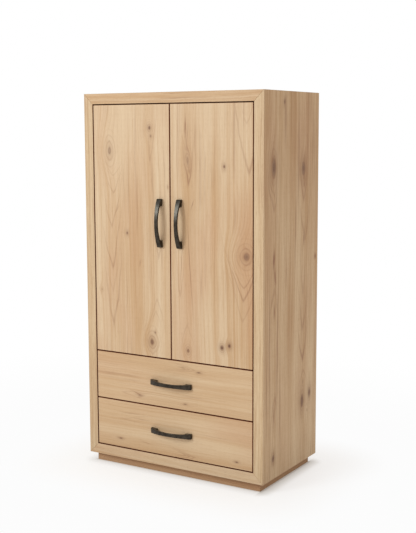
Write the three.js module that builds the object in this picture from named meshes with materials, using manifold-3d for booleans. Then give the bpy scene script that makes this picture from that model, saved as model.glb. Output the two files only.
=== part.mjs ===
// A two-door armoire with two drawers: a mitred case on a recessed plinth, doors on cup hinges,
// and drawers on three-member ball slides. Millimetres, +Z up, the front faces -Y.
import * as THREE from "three";
import { mergeVertices } from "three/addons/utils/BufferGeometryUtils.js";
import Module from "manifold-3d";

const wasm = await Module();
wasm.setup();

// ---- Driving dimensions ----

// Case
const CASE_WIDTH = 1016;
const CASE_DEPTH = 575;
const OVERALL_HEIGHT = 1880;
const PANEL = 51; // thickness of the mitred case boards
const CASE_EASE = 1; // chamfer on the case's front and back edges
const FIT = 0.3; // glue line or assembly gap between touching pieces

// Plinth
const PLINTH_HEIGHT = 44;
const PLINTH_BOARD = 22;
const PLINTH_INSET = 29;

// Back panel, in a rebate that runs round the case
const BACK_THICKNESS = 8;
const REBATE_WIDTH = 12;
const REBATE_DEPTH = 10;

// Fixed boards inside
const DADO_DEPTH = 8;
const DECK_THICKNESS = 22;
const DECK_OVERLAP = 7; // how far the deck stands above the lower edge of the doors
const SHELF_THICKNESS = 20;
const SHELF_DROP = 234; // clear height over the shelf
const SHELF_SETBACK = 110; // shelf front edge behind the case front
const INNER_EASE = 0.8;

// Hanging rod
const ROD_RADIUS = 12.5;
const ROD_WALL = 1.5;
const ROD_DROP = 55; // rod axis below the shelf
const ROD_BACK = 305; // rod axis behind the case front
const SOCKET_FLANGE_RADIUS = 27;
const SOCKET_FLANGE = 4;
const SOCKET_WALL = 3;
const SOCKET_REACH = 16;
const SOCKET_PLAY = 0.5;

// Doors and drawer fronts
const FRONT_THICKNESS = 22;
const FRONT_SETBACK = 1; // fronts sit this far behind the case's front edges
const FRONT_EASE = 1.6;
const REVEAL = 5; // gap round every door and drawer front
const DRAWER_FRONT_HEIGHT = 240.5;

// Bow handles
const HANDLE_LENGTH = 235;
const HANDLE_END_WIDTH = 26;
const HANDLE_WAIST = 17; // width at the middle of the bow
const HANDLE_REACH = 44; // how far the middle of the bow stands out
const HANDLE_END_REACH = 13;
const HANDLE_BAR = 9.5; // thickness of the bow
const HANDLE_FOOT = 35;
const HANDLE_END_CORNER = 4;
const HANDLE_FOOT_CORNER = 6;
const DOOR_HANDLE_OFFSET = 53.5; // from the inner edge of the door to the handle's centre line
const DOOR_HANDLE_HEIGHT = 1255;

// Drawer boxes
const BOX_WALL = 14;
const BOX_DROP = 46.5; // top edge of the box below the top edge of its front
const BOX_LENGTH = 500;
const BOX_LIFT = 16; // underside of the box above the lower edge of its front
const BOTTOM_THICKNESS = 6;
const BOTTOM_LIFT = 12;
const GROOVE_DEPTH = 6;

// Drawer slides
const SLIDE_SPACE = 13; // between the case side and the drawer box
const SLIDE_HEIGHT = 45;
const SLIDE_STEEL = 1.3;
const SLIDE_RACE = 4.2; // ball space between two members
const SLIDE_LENGTH = 500;
const SLIDE_MID_LENGTH = 480;
const SLIDE_LIFT = 70; // slide's centre above the underside of the box
const SLIDE_SETBACK = 4; // slide's front end behind the drawer front

// Cup hinges, on an axis at each door's front outer edge.
// Hinge points are (inward from the door's edge, back from the door's face).
const HINGE_END_MARGIN = 110; // from the door's end to the hinge's centre
const CUP_RADIUS = 17.5;
const CUP_EDGE = 5; // wood between the door's edge and the cup
const CUP_DEPTH = 12;
const CUP_WALL = 1.1;
const CUP_WING_HEIGHT = 62;
const CUP_WING_WIDTH = 18;
const CUP_WING = 1.2;
const ARM_PIVOT = { in: 12, back: 31 };
const CUP_PIVOT = { in: 20, back: 16 };
const PIN_RADIUS = 1.5;
const PIN_PLAY = 0.35;
const ARM_PLATE = 1.4;
const ARM_HALF_HEIGHT = 8.4;
const ARM_START = 46; // back end of the nose, behind the door's face
const ARM_END = 84;
const ARM_RISE = 13; // arm's height over the case side
const BASE_PLATE = 2.5;
const BASE_WING_HEIGHT = 50;
const BASE_WING_WIDTH = 14;
const FORK_HALF_HEIGHT = 6.4;
const FORK_PLATE = 1.8;
const FORK_RADIUS = 3.5;
const HOOK_HALF_HEIGHT = 4.2;
const HOOK_STRIP = 3;
const HOOK_EYE = 3.2;

const ROUND_STEPS = 24; // facets round a hinge cup
const PIN_STEPS = 12;
const ARC_STEPS = 12; // steps along each quarter or bow of an outline

// ---- Places that follow from the dimensions ----

const halfWidth = CASE_WIDTH / 2;
const openingHalf = halfWidth - PANEL;
const caseBottom = PLINTH_HEIGHT;
const openingBottom = caseBottom + PANEL;
const openingTop = OVERALL_HEIGHT - PANEL;
const frontWidth = 2 * (openingHalf - REVEAL);
const frontBack = FRONT_SETBACK + FRONT_THICKNESS; // back face of the doors and drawer fronts
const lowerFrontBottom = openingBottom + REVEAL;
const upperFrontBottom = lowerFrontBottom + DRAWER_FRONT_HEIGHT + REVEAL;
const doorBottom = upperFrontBottom + DRAWER_FRONT_HEIGHT + REVEAL;
const doorHeight = openingTop - REVEAL - doorBottom;
const doorWidth = (frontWidth - REVEAL) / 2;
const backFace = CASE_DEPTH - REBATE_DEPTH; // front face of the rebate for the back panel
const deckTop = doorBottom + DECK_OVERLAP;
const deckFront = frontBack + 2;
const shelfTop = openingTop - SHELF_DROP;
const boxHalf = openingHalf - SLIDE_SPACE;
const mitreGap = FIT / Math.SQRT2; // half of the glue line, measured along a board's end
const hingeHeights = {
  top: doorBottom + doorHeight - HINGE_END_MARGIN,
  middle: doorBottom + doorHeight / 2,
  bottom: doorBottom + HINGE_END_MARGIN,
};

// ---- Materials ----

const wood = (color) => new THREE.MeshStandardMaterial({ color, roughness: 0.55, metalness: 0 });
const metal = (color, roughness) => new THREE.MeshStandardMaterial({ color, roughness, metalness: 1 });
const oakCase = wood(0xd0ac7e);
const oakFront = wood(0xd5b28a);
const oakPlinth = wood(0xa98560);
const birch = wood(0xdcc6a0);
const plywood = wood(0xc9ab80);
const darkMetal = metal(0x3b3833, 0.42);
const zinc = metal(0xb9babb, 0.3);
const nickel = metal(0xc4c2bd, 0.22);

// ---- Solids ----

function toSolid(geometry) {
  const bare = geometry.clone();
  bare.deleteAttribute("normal");
  bare.deleteAttribute("uv");
  const merged = mergeVertices(bare, 1e-4);
  const vertProperties = merged.attributes.position.array;
  const triVerts = new Uint32Array(merged.index.array);
  return new wasm.Manifold(new wasm.Mesh({ numProp: 3, vertProperties, triVerts }));
}

function toGeometry(solid) {
  const { vertProperties, triVerts } = solid.getMesh();
  const geometry = new THREE.BufferGeometry();
  geometry.setAttribute("position", new THREE.BufferAttribute(vertProperties, 3));
  geometry.setIndex(new THREE.BufferAttribute(triVerts, 1));
  return geometry;
}

const join = (...geometries) => toGeometry(geometries.map(toSolid).reduce((a, b) => a.add(b)));
const cut = (geometry, ...tools) =>
  toGeometry(tools.map(toSolid).reduce((left, tool) => left.subtract(tool), toSolid(geometry)));

// A plain box from its low corner and its high corner.
function block(low, high) {
  const [w, d, h] = high.map((value, axis) => value - low[axis]);
  const box = new THREE.BoxGeometry(w, d, h);
  return box.translate(...high.map((value, axis) => (value + low[axis]) / 2));
}

// A closed outline from points.
function outline(points) {
  const shape = new THREE.Shape();
  points.forEach(([x, y], i) => (i ? shape.lineTo(x, y) : shape.moveTo(x, y)));
  shape.closePath();
  return shape;
}

// An outline pushed along +Z, from low to high, with its end edges chamfered by ease.
function prism(shape, low, high, ease = 0, curveSegments = ARC_STEPS) {
  const geometry = new THREE.ExtrudeGeometry(shape, {
    depth: high - low - 2 * ease,
    bevelEnabled: ease > 0,
    bevelSize: ease,
    bevelThickness: ease,
    bevelOffset: -ease,
    bevelSegments: 1,
    curveSegments,
  });
  return geometry.translate(0, 0, low + ease);
}

// The same prism, standing with its outline's y upwards and its length along +Y.
const standing = (shape, front, back, ease) =>
  prism(shape, -back, -front, ease).rotateX(Math.PI / 2);

// A board from its low corner to its high corner, with all its edges chamfered.
function board(low, high, ease = INNER_EASE) {
  const [x0, y0, z0] = low;
  const [x1, y1, z1] = high;
  const corners = [
    [x0 + ease, z0],
    [x1 - ease, z0],
    [x1, z0 + ease],
    [x1, z1 - ease],
    [x1 - ease, z1],
    [x0 + ease, z1],
    [x0, z1 - ease],
    [x0, z0 + ease],
  ];
  return standing(outline(corners), y0, y1, ease);
}

// A flat bar with round ends between two points, from low to high along Z.
function capsule([ax, ay], [bx, by], radius, low, high) {
  const turn = Math.atan2(by - ay, bx - ax);
  const shape = new THREE.Shape();
  shape.absarc(ax, ay, radius, turn + Math.PI / 2, turn + (3 * Math.PI) / 2, false);
  shape.absarc(bx, by, radius, turn - Math.PI / 2, turn + Math.PI / 2, false);
  shape.closePath();
  return prism(shape, low, high, 0, PIN_STEPS / 2);
}

// A cylinder along Z about a point of the XY plane.
function pin([x, y], radius, low, high, steps = PIN_STEPS) {
  const cylinder = new THREE.CylinderGeometry(radius, radius, high - low, steps);
  return cylinder.rotateX(Math.PI / 2).translate(x, y, (low + high) / 2);
}

// A cylinder along Y about a point of the XZ plane.
function bore([x, z], radius, front, back, steps = ROUND_STEPS) {
  const cylinder = new THREE.CylinderGeometry(radius, radius, back - front, steps);
  return cylinder.translate(x, (front + back) / 2, z);
}

function part(name, geometry, material, position = [0, 0, 0]) {
  const mesh = new THREE.Mesh(geometry, material);
  mesh.name = name;
  mesh.position.set(...position);
  return mesh;
}

function group(...children) {
  const made = new THREE.Group();
  made.add(...children);
  return made;
}

// ---- Case ----

// The rebate for the back panel, cut from all four case boards at once.
const rebate = () =>
  block(
    [-openingHalf - REBATE_WIDTH, backFace, openingBottom - REBATE_WIDTH],
    [openingHalf + REBATE_WIDTH, CASE_DEPTH + 1, openingTop + REBATE_WIDTH],
  );

// A groove across a case side that holds the end of a fixed board.
const dado = (side, boardFront, boardTop, thickness) =>
  block(
    [Math.min(side * (openingHalf - 1), side * (openingHalf + DADO_DEPTH)), boardFront - FIT, boardTop - thickness - FIT],
    [Math.max(side * (openingHalf - 1), side * (openingHalf + DADO_DEPTH)), backFace + 1, boardTop + FIT],
  );

function caseSide(side) {
  const corners = [
    [side * halfWidth, caseBottom + mitreGap],
    [side * halfWidth, OVERALL_HEIGHT - mitreGap],
    [side * openingHalf, openingTop - mitreGap],
    [side * openingHalf, openingBottom + mitreGap],
  ];
  const slab = standing(outline(corners), 0, CASE_DEPTH, CASE_EASE);
  const deckDado = dado(side, deckFront, deckTop, DECK_THICKNESS);
  const shelfDado = dado(side, SHELF_SETBACK, shelfTop, SHELF_THICKNESS);
  return cut(slab, rebate(), deckDado, shelfDado);
}

// The top or the bottom of the case: its outer face is at outer, its inner face at inner.
function caseEnd(outer, inner) {
  const corners = [
    [-halfWidth + mitreGap, outer],
    [halfWidth - mitreGap, outer],
    [openingHalf - mitreGap, inner],
    [-openingHalf + mitreGap, inner],
  ];
  return cut(standing(outline(corners), 0, CASE_DEPTH, CASE_EASE), rebate());
}

function backPanel() {
  const half = openingHalf + REBATE_WIDTH - FIT;
  const low = [-half, backFace + FIT, openingBottom - REBATE_WIDTH + FIT];
  return board(low, [half, backFace + FIT + BACK_THICKNESS, openingTop + REBATE_WIDTH - FIT], 0.5);
}

// A fixed board whose ends stand in the dados of the sides.
function fixedBoard(front, top, thickness) {
  const half = openingHalf + DADO_DEPTH - FIT;
  return board([-half, front, top - thickness], [half, backFace - FIT, top]);
}

// A plinth board along X, mitred at both ends; the side boards are the same shape turned.
function plinthBoard(length) {
  const half = length / 2 - mitreGap;
  const corners = [
    [-half, 0],
    [half, 0],
    [half - PLINTH_BOARD, PLINTH_BOARD],
    [-half + PLINTH_BOARD, PLINTH_BOARD],
  ];
  return prism(outline(corners), 0, PLINTH_HEIGHT - FIT);
}

function plinth() {
  const width = CASE_WIDTH - 2 * PLINTH_INSET;
  const depth = CASE_DEPTH - 2 * PLINTH_INSET;
  const middle = CASE_DEPTH / 2;
  const boards = [
    ["front", width, [0, PLINTH_INSET, 0], 0],
    ["back", width, [0, CASE_DEPTH - PLINTH_INSET, 0], Math.PI],
    ["left", depth, [-width / 2, middle, 0], -Math.PI / 2],
    ["right", depth, [width / 2, middle, 0], Math.PI / 2],
  ];
  return group(
    ...boards.map(([where, length, position, turn]) => {
      const mesh = part(`plinth_${where}`, plinthBoard(length), oakPlinth, position);
      mesh.rotation.z = turn;
      return mesh;
    }),
  );
}

function carcass() {
  return group(
    part("case_side_left", caseSide(-1), oakCase),
    part("case_side_right", caseSide(1), oakCase),
    part("case_top", caseEnd(OVERALL_HEIGHT, openingTop), oakCase),
    part("case_bottom", caseEnd(caseBottom, openingBottom), oakCase),
    part("back_panel", backPanel(), plywood),
    part("deck", fixedBoard(deckFront, deckTop, DECK_THICKNESS), oakCase),
    part("hat_shelf", fixedBoard(SHELF_SETBACK, shelfTop, SHELF_THICKNESS), oakCase),
    plinth(),
  );
}

// ---- Hanging rod ----

// A cup on a flange, opening along +Y of its own frame.
function rodSocket() {
  const inner = ROD_RADIUS + SOCKET_PLAY;
  const profile = [
    [0, 0],
    [SOCKET_FLANGE_RADIUS, 0],
    [SOCKET_FLANGE_RADIUS, SOCKET_FLANGE - 1],
    [SOCKET_FLANGE_RADIUS - 1, SOCKET_FLANGE],
    [inner + SOCKET_WALL, SOCKET_FLANGE],
    [inner + SOCKET_WALL, SOCKET_REACH],
    [inner, SOCKET_REACH],
    [inner, SOCKET_FLANGE],
    [0, SOCKET_FLANGE],
  ];
  return new THREE.LatheGeometry(profile.map(([r, y]) => new THREE.Vector2(r, y)), ROUND_STEPS);
}

function rodTube() {
  const half = openingHalf - SOCKET_FLANGE - 2 * FIT - SOCKET_PLAY;
  const profile = [
    [ROD_RADIUS - ROD_WALL, -half],
    [ROD_RADIUS, -half],
    [ROD_RADIUS, half],
    [ROD_RADIUS - ROD_WALL, half],
    [ROD_RADIUS - ROD_WALL, -half],
  ];
  return new THREE.LatheGeometry(profile.map(([r, y]) => new THREE.Vector2(r, y)), ROUND_STEPS);
}

function hangingRod() {
  const height = shelfTop - SHELF_THICKNESS - ROD_DROP;
  const rod = part("hanging_rod", rodTube(), nickel, [0, ROD_BACK, height]);
  const left = part("rod_socket_left", rodSocket(), nickel, [-openingHalf + FIT, ROD_BACK, height]);
  const right = part("rod_socket_right", rodSocket(), nickel, [openingHalf - FIT, ROD_BACK, height]);
  rod.rotation.z = -Math.PI / 2;
  left.rotation.z = -Math.PI / 2;
  right.rotation.z = Math.PI / 2;
  return group(rod, left, right);
}

// ---- Handles ----

// The bow's side view: x runs along the handle, y stands out from the face it is fixed to.
function handleSide() {
  const half = HANDLE_LENGTH / 2;
  const rise = HANDLE_REACH - HANDLE_END_REACH;
  const outer = (half * half + rise * rise) / (2 * rise);
  const inner = outer - HANDLE_BAR;
  const centre = HANDLE_REACH - outer;
  const foot = half - HANDLE_FOOT;
  const heightAt = (radius, x) => centre + Math.sqrt(radius * radius - x * x);
  const shape = new THREE.Shape();

  // One corner: from (fromX, fromY) round the point (x, y) to (toX, toY).
  const corner = (fromX, fromY, x, y, toX, toY) => {
    shape.lineTo(fromX, fromY);
    shape.quadraticCurveTo(x, y, toX, toY);
  };
  // The bow's outer or inner arc, out to reach on both sides of the middle.
  const bow = (radius, reach, towardsRight) => {
    const turn = Math.asin(reach / radius);
    const sign = towardsRight ? 1 : -1;
    shape.absarc(0, centre, radius, Math.PI / 2 + sign * turn, Math.PI / 2 - sign * turn, towardsRight);
  };

  const end = half - HANDLE_END_CORNER;
  const endHeight = heightAt(outer, end);
  const footEnd = foot - HANDLE_FOOT_CORNER;
  const footHeight = heightAt(inner, foot);
  shape.moveTo(-half, 0);
  corner(-half, HANDLE_END_REACH - HANDLE_END_CORNER, -half, HANDLE_END_REACH, -end, endHeight);
  bow(outer, end, true);
  shape.quadraticCurveTo(half, HANDLE_END_REACH, half, HANDLE_END_REACH - HANDLE_END_CORNER);
  shape.lineTo(half, 0);
  shape.lineTo(foot, 0);
  corner(foot, footHeight - HANDLE_FOOT_CORNER, foot, footHeight, footEnd, heightAt(inner, footEnd));
  bow(inner, footEnd, false);
  shape.quadraticCurveTo(-foot, footHeight, -foot, footHeight - HANDLE_FOOT_CORNER);
  shape.lineTo(-foot, 0);
  shape.closePath();
  return shape;
}

// The bow seen from the front: wide at the feet and narrow at the middle.
function handleWaist() {
  const half = HANDLE_LENGTH / 2 + 1;
  const wide = HANDLE_END_WIDTH / 2;
  const bend = HANDLE_WAIST - wide;
  const shape = new THREE.Shape();
  shape.moveTo(-half, -wide);
  shape.quadraticCurveTo(0, -bend, half, -wide);
  shape.lineTo(half, wide);
  shape.quadraticCurveTo(0, bend, -half, wide);
  shape.closePath();
  return shape;
}

function handleBow() {
  const side = prism(handleSide(), -HANDLE_END_WIDTH, HANDLE_END_WIDTH);
  const waist = prism(handleWaist(), -1, HANDLE_REACH + 1).rotateX(-Math.PI / 2);
  return toGeometry(toSolid(side).intersect(toSolid(waist)));
}

// A handle fixed to the front face at a point, lying along X or, if upright, along Z.
function handle(name, x, z, upright) {
  const mesh = part(name, handleBow(), darkMetal, [x, FRONT_SETBACK - FIT, z]);
  const outwards = new THREE.Vector3(0, -1, 0);
  const along = upright ? new THREE.Vector3(0, 0, 1) : new THREE.Vector3(1, 0, 0);
  const across = new THREE.Vector3().crossVectors(along, outwards);
  mesh.quaternion.setFromRotationMatrix(new THREE.Matrix4().makeBasis(along, outwards, across));
  return mesh;
}

// ---- Hinges ----
// Each is built about the door's axis, with +X inward from the door's edge and +Y back from its face.

const cupCentre = CUP_EDGE + CUP_RADIUS;
const armPivot = [ARM_PIVOT.in, ARM_PIVOT.back];
const cupPivot = [CUP_PIVOT.in, CUP_PIVOT.back];
const cupFloor = FRONT_THICKNESS - CUP_DEPTH + FIT;
const doorBack = FRONT_THICKNESS + FIT;

function hingeCup() {
  const outside = CUP_RADIUS - FIT;
  const inside = outside - CUP_WALL;
  const aside = Math.abs(CUP_PIVOT.in - cupCentre) + PIN_RADIUS;
  const reach = Math.sqrt(outside ** 2 - aside ** 2) - CUP_WALL / 2; // the pin ends within the cup's wall
  const wingLow = [cupCentre - CUP_WING_WIDTH / 3, doorBack, -CUP_WING_HEIGHT / 2];
  const wingHigh = [cupCentre + (2 * CUP_WING_WIDTH) / 3, doorBack + CUP_WING, CUP_WING_HEIGHT / 2];
  const shell = cut(
    join(
      bore([cupCentre, 0], outside, cupFloor, doorBack + CUP_WING),
      bore([cupCentre, 0], outside + 1, doorBack, doorBack + CUP_WING),
      board(wingLow, wingHigh, CUP_WING / 3),
    ),
    bore([cupCentre, 0], inside, cupFloor + CUP_WALL, doorBack + CUP_WING + 1),
  );
  return join(shell, pin(cupPivot, PIN_RADIUS, -reach, reach));
}

function hingeArm() {
  const foot = FIT - REVEAL; // face of the base plate that lies on the case side
  const top = foot + ARM_RISE;
  const half = ARM_HALF_HEIGHT;
  const eye = FORK_RADIUS + 1;
  const cheek = (low, high) =>
    join(
      capsule(armPivot, [foot + BASE_PLATE + eye, ARM_START + eye], eye, low, high),
      block([foot + 1, ARM_START, low], [top, ARM_END, high]),
    );
  const middle = (ARM_START + ARM_END) / 2;
  return join(
    cheek(-half, -half + ARM_PLATE),
    cheek(half - ARM_PLATE, half),
    block([top - ARM_PLATE, ARM_START + eye, -half], [top, ARM_END, half]),
    block([foot, ARM_START, -half], [foot + BASE_PLATE, ARM_END + 6, half]),
    block(
      [foot, middle - BASE_WING_WIDTH / 2, -BASE_WING_HEIGHT / 2],
      [foot + BASE_PLATE, middle + BASE_WING_WIDTH / 2, BASE_WING_HEIGHT / 2],
    ),
    pin(armPivot, PIN_RADIUS, -half, half),
  );
}

// Two cheeks that swing on the arm's pin and carry the pin of the hook's far end.
function hingeFork() {
  const far = [armPivot[0] + cupPivot[0], armPivot[1] + cupPivot[1]];
  const half = FORK_HALF_HEIGHT;
  const hole = pin(armPivot, PIN_RADIUS + PIN_PLAY, -half - 1, half + 1);
  const cheek = (low, high) => cut(capsule(armPivot, far, FORK_RADIUS, low, high), hole);
  return join(cheek(-half, -half + FORK_PLATE), cheek(half - FORK_PLATE, half), pin(far, PIN_RADIUS, -half, half));
}

// A goose-neck strip from the cup's pin, round the door's edge, to the fork's pin.
function hingeHook() {
  const bends = [
    [0, 0],
    [16.5, 11],
    [17, 18],
    armPivot,
  ].map(([x, y]) => [x + cupPivot[0], y + cupPivot[1]]);
  const half = HOOK_HALF_HEIGHT;
  const strips = bends.slice(1).map((bend, i) => capsule(bends[i], bend, HOOK_STRIP / 2, -half, half));
  const ends = [bends[0], bends[3]];
  const eyes = ends.map((end) => pin(end, HOOK_EYE, -half, half));
  const holes = ends.map((end) => pin(end, PIN_RADIUS + PIN_PLAY, -half - 1, half + 1));
  return cut(join(...strips, ...eyes), ...holes);
}

// Every hinge has a cup and an arm here; the fork and hook are on the middle hinge of each door.
function hinge(side, where) {
  const name = `hinge_${side < 0 ? "left" : "right"}_${where}`;
  const links = [
    part(`${name}_fork`, hingeFork(), zinc),
    part(`${name}_hook`, hingeHook(), zinc),
  ];
  const made = group(
    part(`${name}_cup`, hingeCup(), nickel),
    part(`${name}_arm`, hingeArm(), nickel),
    ...(where === "middle" ? links : []),
  );
  made.position.set(side * (openingHalf - REVEAL), FRONT_SETBACK, hingeHeights[where]);
  if (side > 0) made.rotation.y = Math.PI;
  return made;
}

// ---- Doors ----

function doorLeaf(side) {
  const outer = side * (openingHalf - REVEAL);
  const inner = (side * REVEAL) / 2;
  const slab = board(
    [Math.min(outer, inner), FRONT_SETBACK, doorBottom],
    [Math.max(outer, inner), frontBack, doorBottom + doorHeight],
    FRONT_EASE,
  );
  const cups = Object.values(hingeHeights).map((height) =>
    bore([outer - side * cupCentre, height], CUP_RADIUS, frontBack - CUP_DEPTH, frontBack + 1),
  );
  return cut(slab, ...cups);
}

function door(side) {
  const hand = side < 0 ? "left" : "right";
  const handleX = side * (REVEAL / 2 + DOOR_HANDLE_OFFSET);
  return group(
    part(`door_${hand}`, doorLeaf(side), oakFront),
    handle(`door_handle_${hand}`, handleX, DOOR_HANDLE_HEIGHT, true),
    ...Object.keys(hingeHeights).map((where) => hinge(side, where)),
  );
}

// ---- Drawer slides ----
// A slide's section is (across from the case side, up from the slide's centre).

// A C-shaped section whose web is at web and whose flanges end at lip, half its height up and down.
function channel(web, lip, half) {
  const towards = Math.sign(lip - web) * SLIDE_STEEL;
  return outline([
    [web, -half],
    [lip, -half],
    [lip, -half + SLIDE_STEEL],
    [web + towards, -half + SLIDE_STEEL],
    [web + towards, half - SLIDE_STEEL],
    [lip, half - SLIDE_STEEL],
    [lip, half],
    [web, half],
  ]);
}

const slideMembers = () => {
  const outerHalf = SLIDE_HEIGHT / 2;
  const middleHalf = outerHalf - SLIDE_STEEL - SLIDE_RACE;
  const innerHalf = middleHalf - SLIDE_STEEL - SLIDE_RACE;
  const middleWeb = FIT + 2 * SLIDE_STEEL;
  const caseLip = SLIDE_SPACE - 3 * SLIDE_STEEL;
  const drawerLip = middleWeb + 2 * SLIDE_STEEL;
  return {
    case: { shape: channel(FIT, caseLip, outerHalf), length: SLIDE_LENGTH },
    middle: { shape: channel(middleWeb, caseLip + 1, middleHalf), length: SLIDE_MID_LENGTH },
    drawer: { shape: channel(SLIDE_SPACE - FIT, drawerLip, innerHalf), length: SLIDE_LENGTH - SLIDE_SETBACK },
  };
};

function slide(name, side, centre) {
  const members = Object.entries(slideMembers()).map(([member, { shape, length }]) => {
    const start = frontBack + SLIDE_SETBACK;
    return part(`${name}_${member}`, standing(shape, start, start + length, 0), zinc);
  });
  const made = group(...members);
  made.position.set(side * openingHalf, 0, centre);
  if (side > 0) {
    // The right slide is the left one turned about Z, which also turns its length round.
    made.rotation.z = Math.PI;
    made.position.y = 2 * (frontBack + SLIDE_SETBACK);
    members.forEach((mesh, i) => {
      mesh.position.y = -Object.values(slideMembers())[i].length;
    });
  }
  return made;
}

// ---- Drawers ----

function drawer(name, frontBottom) {
  const boxFront = frontBack + FIT;
  const boxBack = boxFront + BOX_LENGTH;
  const boxBottom = frontBottom + BOX_LIFT;
  const boxTop = frontBottom + DRAWER_FRONT_HEIGHT - BOX_DROP;
  const inside = boxHalf - BOX_WALL;
  const panelLow = boxBottom + BOTTOM_LIFT;
  const grip = GROOVE_DEPTH - FIT; // how far the bottom panel stands in its groove
  const groove = block(
    [-inside - GROOVE_DEPTH, boxFront + BOX_WALL - GROOVE_DEPTH, panelLow - FIT],
    [inside + GROOVE_DEPTH, boxBack - BOX_WALL + GROOVE_DEPTH, panelLow + BOTTOM_THICKNESS + FIT],
  );
  const wall = (low, high) => cut(board([low[0], low[1], boxBottom], [high[0], high[1], boxTop]), groove);
  const half = frontWidth / 2;
  const front = board(
    [-half, FRONT_SETBACK, frontBottom],
    [half, frontBack, frontBottom + DRAWER_FRONT_HEIGHT],
    FRONT_EASE,
  );
  const bottom = board(
    [-inside - grip, boxFront + BOX_WALL - grip, panelLow],
    [inside + grip, boxBack - BOX_WALL + grip, panelLow + BOTTOM_THICKNESS],
    0.4,
  );
  const end = inside - FIT;
  const slideCentre = boxBottom + SLIDE_LIFT;
  return group(
    part(`${name}_front`, front, oakFront),
    part(`${name}_box_front`, wall([-end, boxFront], [end, boxFront + BOX_WALL]), birch),
    part(`${name}_box_back`, wall([-end, boxBack - BOX_WALL], [end, boxBack]), birch),
    part(`${name}_box_left`, wall([-boxHalf, boxFront], [-inside, boxBack]), birch),
    part(`${name}_box_right`, wall([inside, boxFront], [boxHalf, boxBack]), birch),
    part(`${name}_box_bottom`, bottom, plywood),
    handle(`${name}_handle`, 0, frontBottom + DRAWER_FRONT_HEIGHT / 2, false),
    slide(`${name}_slide_left`, -1, slideCentre),
    slide(`${name}_slide_right`, 1, slideCentre),
  );
}

// ---- The armoire ----

const body = group(
  carcass(),
  hangingRod(),
  door(-1),
  door(1),
  drawer("upper_drawer", upperFrontBottom),
  drawer("lower_drawer", lowerFrontBottom),
);
// The origin is on the floor, under the middle of the overall depth with the handles.
body.position.y = (HANDLE_REACH - FRONT_SETBACK + FIT - CASE_DEPTH) / 2;

const armoire = group(body);
export default armoire;
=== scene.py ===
"""An oak armoire: materials, hardware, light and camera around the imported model."""
import math

import bmesh
import bpy
from mathutils import Matrix, Vector


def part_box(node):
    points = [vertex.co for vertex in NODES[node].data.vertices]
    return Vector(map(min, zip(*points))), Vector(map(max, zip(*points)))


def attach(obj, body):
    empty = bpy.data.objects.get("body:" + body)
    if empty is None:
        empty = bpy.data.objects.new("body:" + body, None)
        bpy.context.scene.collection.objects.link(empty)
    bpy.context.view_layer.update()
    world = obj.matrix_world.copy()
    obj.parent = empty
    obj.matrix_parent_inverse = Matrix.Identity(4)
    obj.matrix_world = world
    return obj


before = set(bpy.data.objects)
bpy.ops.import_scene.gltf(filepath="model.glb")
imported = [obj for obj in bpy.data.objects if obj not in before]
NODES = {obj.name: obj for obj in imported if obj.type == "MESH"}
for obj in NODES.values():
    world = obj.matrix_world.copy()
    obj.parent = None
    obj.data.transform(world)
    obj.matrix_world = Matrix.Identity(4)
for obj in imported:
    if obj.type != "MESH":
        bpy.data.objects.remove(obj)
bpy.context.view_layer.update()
X, Y, Z = 0, 1, 2
MM = 0.001
SIDES = (("left", -1), ("right", 1))
DRAWERS = ("upper_drawer", "lower_drawer")


def srgb(red, green, blue):
    """A linear colour from sRGB numbers between 0 and 255."""
    def linear(value):
        value /= 255
        return value / 12.92 if value <= 0.04045 else ((value + 0.055) / 1.055) ** 2.4
    return (linear(red), linear(green), linear(blue), 1.0)


def grey(value):
    """A neutral linear colour."""
    return (value, value, value, 1.0)


# ---- Node trees ----

class Field:
    """A number that varies over a surface: a node socket that takes arithmetic."""

    def __init__(self, tree, socket):
        self.tree, self.socket = tree, socket

    def op(self, kind, *others):
        node = self.tree.nodes.new("ShaderNodeMath")
        node.operation = kind
        for slot, value in zip(node.inputs, (self, *others)):
            feed(self.tree, value, slot)
        return Field(self.tree, node.outputs[0])

    def __add__(self, other):
        return self.op("ADD", other)

    def __sub__(self, other):
        return self.op("SUBTRACT", other)

    def __mul__(self, other):
        return self.op("MULTIPLY", other)

    def __truediv__(self, other):
        return self.op("DIVIDE", other)

    def power(self, other):
        return self.op("POWER", other)

    def size(self):
        return self.op("ABSOLUTE")

    def bell(self, width):
        """1 where the field is zero, falling to nothing beyond about twice the width."""
        scaled = self / width
        return (scaled * scaled * -1.0).op("EXPONENT")

    def ramp(self, low, high, bottom=0.0, top=1.0):
        """A smooth step from bottom at low to top at high."""
        node = self.tree.nodes.new("ShaderNodeMapRange")
        node.interpolation_type = "SMOOTHSTEP"
        for slot, value in zip(node.inputs, (self, low, high, bottom, top)):
            feed(self.tree, value, slot)
        return Field(self.tree, node.outputs[0])


def feed(tree, value, slot):
    """Links a field to a socket, or sets the socket to a constant."""
    if isinstance(value, Field):
        tree.links.new(value.socket, slot)
    else:
        slot.default_value = value


def vector(tree, *parts):
    """A point from three numbers or fields."""
    node = tree.nodes.new("ShaderNodeCombineXYZ")
    for slot, value in zip(node.inputs, parts):
        feed(tree, value, slot)
    return Field(tree, node.outputs[0])


def noise(tree, where, detail=2.0, roughness=0.5, scale=1.0):
    """Noise between 0 and 1: along one number, or through space where a vector is given."""
    node = tree.nodes.new("ShaderNodeTexNoise")
    flat = where.socket.type == "VALUE"
    node.noise_dimensions = "1D" if flat else "3D"
    feed(tree, where, node.inputs["W" if flat else "Vector"])
    node.inputs["Scale"].default_value = scale
    node.inputs["Detail"].default_value = detail
    node.inputs["Roughness"].default_value = roughness
    return Field(tree, node.outputs["Fac"])


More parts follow.
